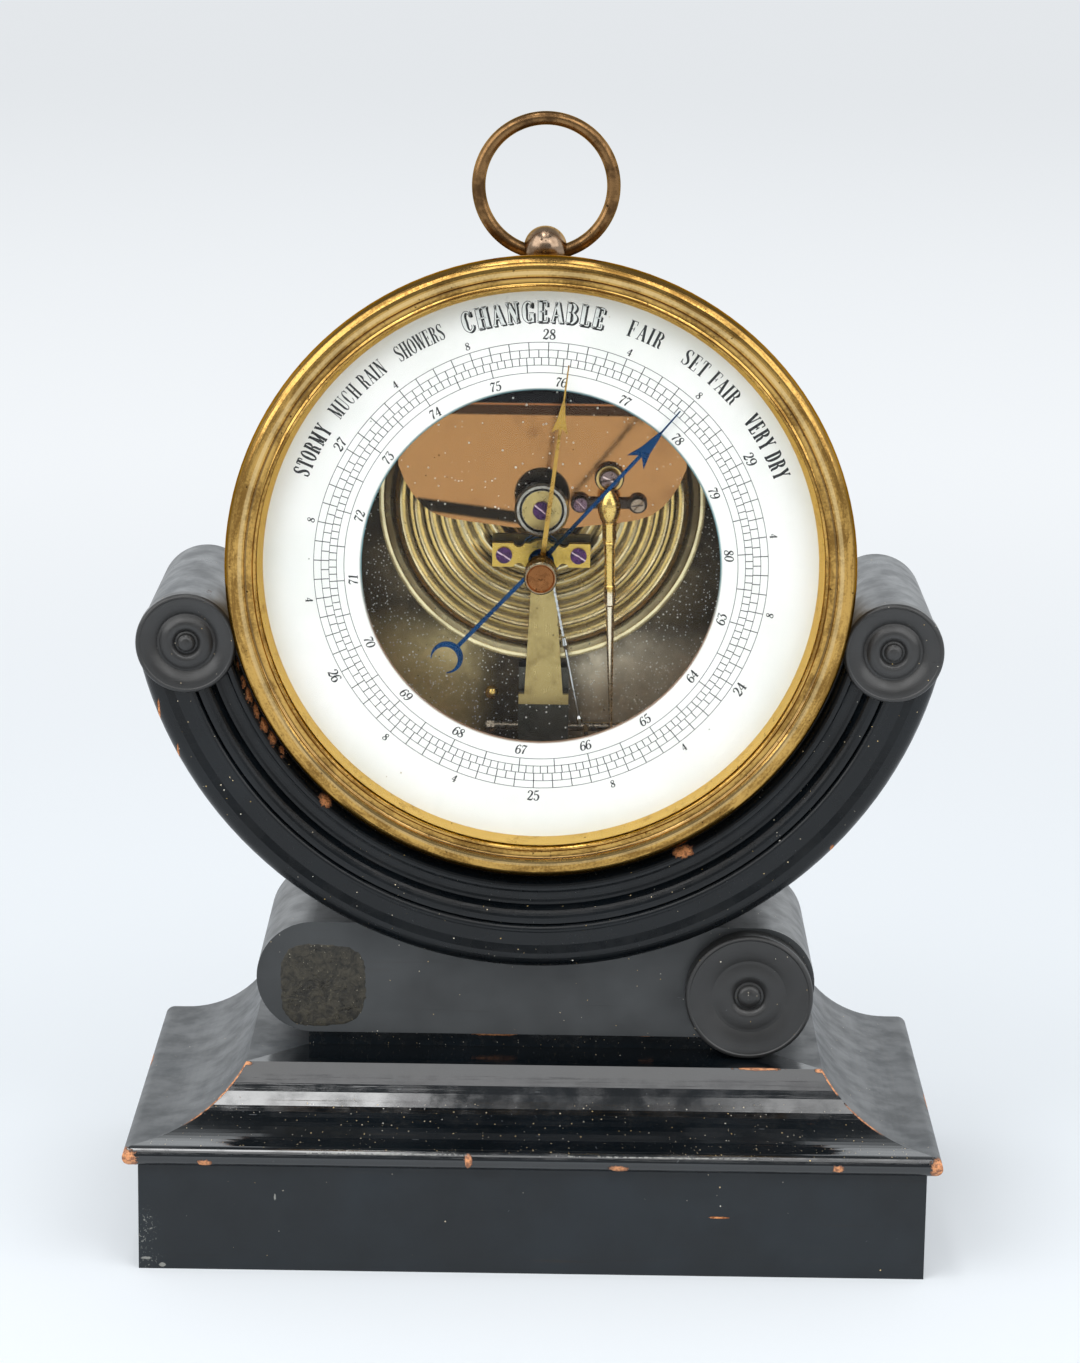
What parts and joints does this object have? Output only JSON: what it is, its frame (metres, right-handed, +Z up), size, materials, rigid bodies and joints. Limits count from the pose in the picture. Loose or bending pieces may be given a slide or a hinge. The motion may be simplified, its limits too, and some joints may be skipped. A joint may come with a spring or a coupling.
{
  "type": "desk barometer",
  "caption": "Aneroid barometer with a see-through dial and hanging ring, standing in an ebonised wooden cradle on a moulded base.",
  "frame": {"origin": "middle of the base on the surface it stands on", "axes": "-Y is the dial side (front), +X to the right seen from the front, +Z up"},
  "size_m": [0.17, 0.096, 0.2382],
  "materials": {
    "ebonised_wood": "semi-gloss black",
    "bezel_brass": "aged polish",
    "case_brass": "dark bronze patina",
    "white_dial": "satin white",
    "glass": "clear",
    "blued_steel": "blued",
    "steel": "satin",
    "capsule_metal": "lacquered",
    "spring_metal": "bronzed",
    "bronze_plate": "dull"
  },
  "bodies": {
    "stand": {"plinth": "ebonised_wood", "front_moulding": "ebonised_wood", "side_mouldings": "ebonised_wood", "core_board": "ebonised_wood", "scroll_block": "ebonised_wood", "cradle": "ebonised_wood", "left_roller": "ebonised_wood", "right_roller": "ebonised_wood", "left_roundel": "ebonised_wood", "right_roundel": "ebonised_wood", "lower_roundel": "ebonised_wood"},
    "barometer": {"case_drum": "case_brass", "case_screws": "steel", "bezel": "bezel_brass", "glass": "glass", "sight_ring": "bezel_brass", "dial": "white_dial", "glass_bush": "bezel_brass", "pendant_ball": "case_brass", "base_plate": "bronze_plate", "plate_pillars": "bezel_brass", "plate_stud": "bezel_brass", "capsule": "capsule_metal", "capsule_nut": "bezel_brass", "capsule_post": "case_brass", "post_screw": "blued_steel", "mainspring": "spring_metal", "spring_screws": "steel", "rocker_bracket": "steel", "arbor_strap": "bezel_brass", "cock_pillars": "bezel_brass", "arbor_cock": "bezel_brass", "cock_screws": "blued_steel", "hairspring": "blued_steel", "lever_foot": "case_brass"},
    "ring": {"hanging_ring": "case_brass"},
    "pointer_arbor": {"pointer": "blued_steel", "arbor": "steel"},
    "set_hand_assembly": {"set_hand": "bezel_brass", "set_knob": "case_brass"},
    "chain_and_rod": {"chain": "steel", "pull_rod": "steel"},
    "rocker": {"rocker_shaft": "steel"},
    "lever": {"main_lever": "bezel_brass"},
    "adjuster": {"adjusting_screw": "steel"}
  },
  "joints": [
    {"name": "barometer_lift", "type": "slide", "parent": "stand", "child": "barometer", "axis": [0, 0, 1], "range_m": [0, 0.09]},
    {"name": "ring_swing", "type": "hinge", "parent": "barometer", "child": "ring", "pos_m": [0, -0.007, 0.2094], "axis": [1, 0, 0], "range_deg": [-93, 81]},
    {"name": "pointer_turn", "type": "hinge", "parent": "barometer", "child": "pointer_arbor", "pos_m": [0, -0.023, 0.1461], "axis": [0, 1, 0], "range_deg": [-296, 44]},
    {"name": "set_hand_turn", "type": "hinge", "parent": "barometer", "child": "set_hand_assembly", "pos_m": [0, -0.023, 0.1461], "axis": [0, 1, 0], "continuous": true},
    {"name": "chain_pull", "type": "slide", "parent": "barometer", "child": "chain_and_rod", "axis": [0.1994, 0, -0.9799], "range_m": [-0.0061, 0.001]},
    {"name": "rocker_turn", "type": "hinge", "parent": "barometer", "child": "rocker", "pos_m": [0, 0, 0.1069], "axis": [1, 0, 0], "range_deg": [-56, 9]},
    {"name": "lever_rock", "type": "hinge", "parent": "barometer", "child": "lever", "pos_m": [0.014, -0.0125, 0.157], "axis": [1, 0, 0], "range_deg": [-3.6, 0.6]},
    {"name": "adjuster_turn", "type": "hinge", "parent": "barometer", "child": "adjuster", "pos_m": [0, 0.017, 0.1921], "axis": [0, 1, 0], "range_deg": [-720, 720]}
  ],
  "couplings": [
    {"joint": "chain_pull", "follows": "pointer_turn", "m_per_rad": 0.00116},
    {"joint": "rocker_turn", "follows": "pointer_turn", "ratio": 0.184},
    {"joint": "lever_rock", "follows": "pointer_turn", "ratio": 0.0116}
  ]
}
